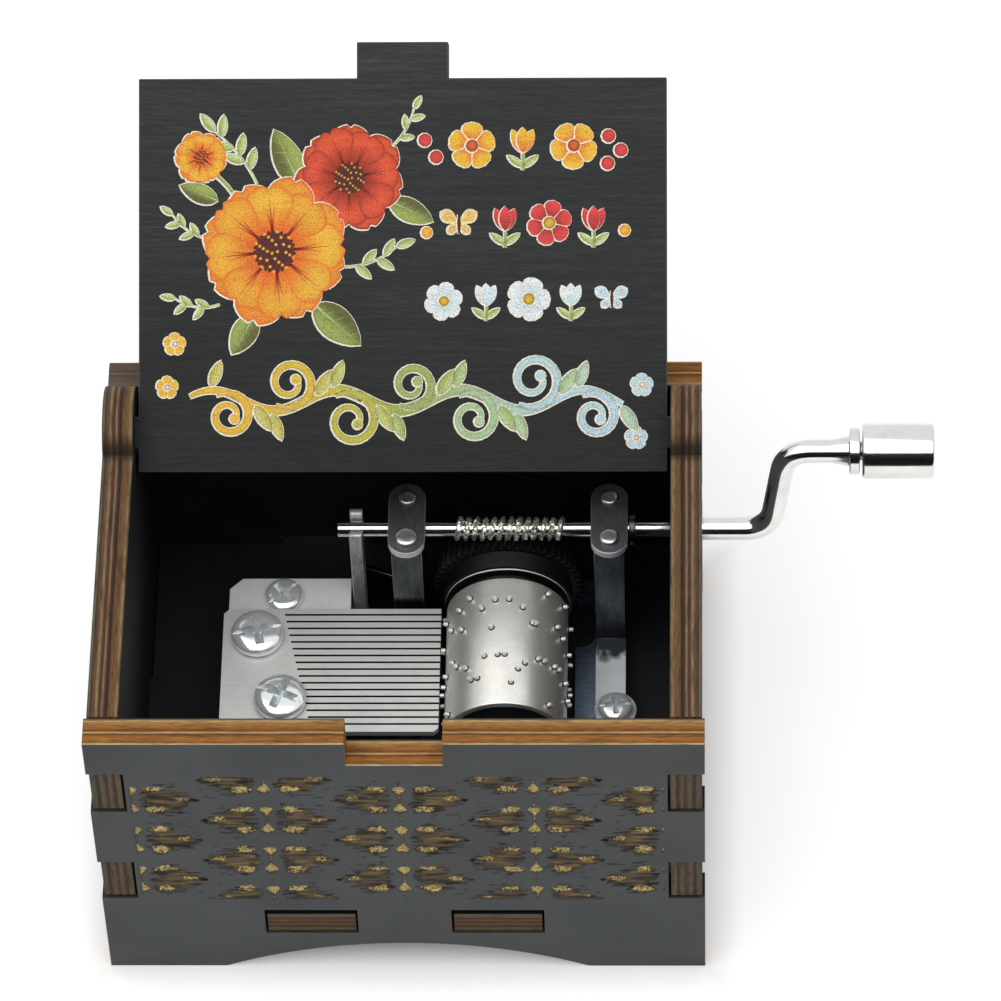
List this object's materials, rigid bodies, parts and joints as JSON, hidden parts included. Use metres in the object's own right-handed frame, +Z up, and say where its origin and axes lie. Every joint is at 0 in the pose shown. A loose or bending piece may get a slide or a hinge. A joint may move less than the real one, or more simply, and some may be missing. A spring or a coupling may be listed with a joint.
{
  "type": "hand-cranked music box",
  "caption": "Small plywood box on arched feet, its lid leaning open over a comb, a pinned cylinder and a worm drive turned by a bent crank with a round knob.",
  "frame": {"origin": "under the middle of the whole bounding box, on the ground the feet stand on, with the lid open and the crank up as pictured", "axes": "+X to the crank side, +Y to the back, +Z up"},
  "size_m": [0.0884, 0.0762, 0.0658],
  "materials": {
    "painted_ply": "plywood, matte dark grey paint, laser-browned edges",
    "black_ply": "plywood, matte near-black paint",
    "nickel_plate": "nickel plate, satin to bright",
    "comb_steel": "ground steel",
    "dark_steel": "polished steel that mirrors the dark case",
    "zinc_plate": "bright zinc plate",
    "chrome_plate": "polished chrome",
    "black_plastic": "moulded, slightly glossy"
  },
  "bodies": {
    "case": {"front_wall": "painted_ply", "rear_wall": "painted_ply", "left_wall": "painted_ply", "right_wall": "painted_ply", "base_panel": "black_ply", "movement_bed": "nickel_plate", "comb_pedestal": "nickel_plate", "comb": "comb_steel", "left_bracket": "dark_steel", "right_bracket": "dark_steel", "left_strap": "dark_steel", "right_strap": "dark_steel", "right_bracket_washer": "zinc_plate", "comb_screw_rear": "zinc_plate", "comb_screw_front": "zinc_plate", "pedestal_screw": "zinc_plate", "right_bracket_screw": "zinc_plate", "left_bracket_screw": "zinc_plate", "left_strap_rivet_rear": "zinc_plate", "left_strap_rivet_front": "zinc_plate", "right_strap_rivet_rear": "zinc_plate", "right_strap_rivet_front": "zinc_plate", "mounting_screw_1": "zinc_plate", "mounting_screw_2": "zinc_plate", "mounting_screw_3": "zinc_plate"},
    "lid": {"lid_panel": "black_ply"},
    "crank": {"worm_shaft": "nickel_plate", "shaft_collar": "dark_steel", "crank_rod": "chrome_plate"},
    "knob": {"knob": "chrome_plate"},
    "cylinder": {"pin_cylinder": "nickel_plate", "front_plug": "black_plastic", "cylinder_ring": "nickel_plate", "worm_wheel": "black_plastic", "arbor": "nickel_plate"}
  },
  "joints": [
    {"name": "lid_hinge", "type": "hinge", "parent": "case", "child": "lid", "pos_m": [-0.01218, 0.00311, 0.0409], "axis": [1, 0, 0], "range_deg": [-34, 145.3]},
    {"name": "crank_turn", "type": "hinge", "parent": "case", "child": "crank", "pos_m": [-0.01218, -0.00064, 0.02849], "axis": [1, 0, 0], "continuous": true},
    {"name": "knob_spin", "type": "hinge", "parent": "crank", "child": "knob", "pos_m": [0.03982, 0.00167, 0.0394], "axis": [1, 0, 0], "continuous": true},
    {"name": "cylinder_turn", "type": "hinge", "parent": "case", "child": "cylinder", "pos_m": [-0.00147, -0.01209, 0.0195], "axis": [0, 1, 0], "continuous": true}
  ],
  "couplings": [
    {"joint": "cylinder_turn", "follows": "crank_turn", "ratio": -0.018519}
  ]
}
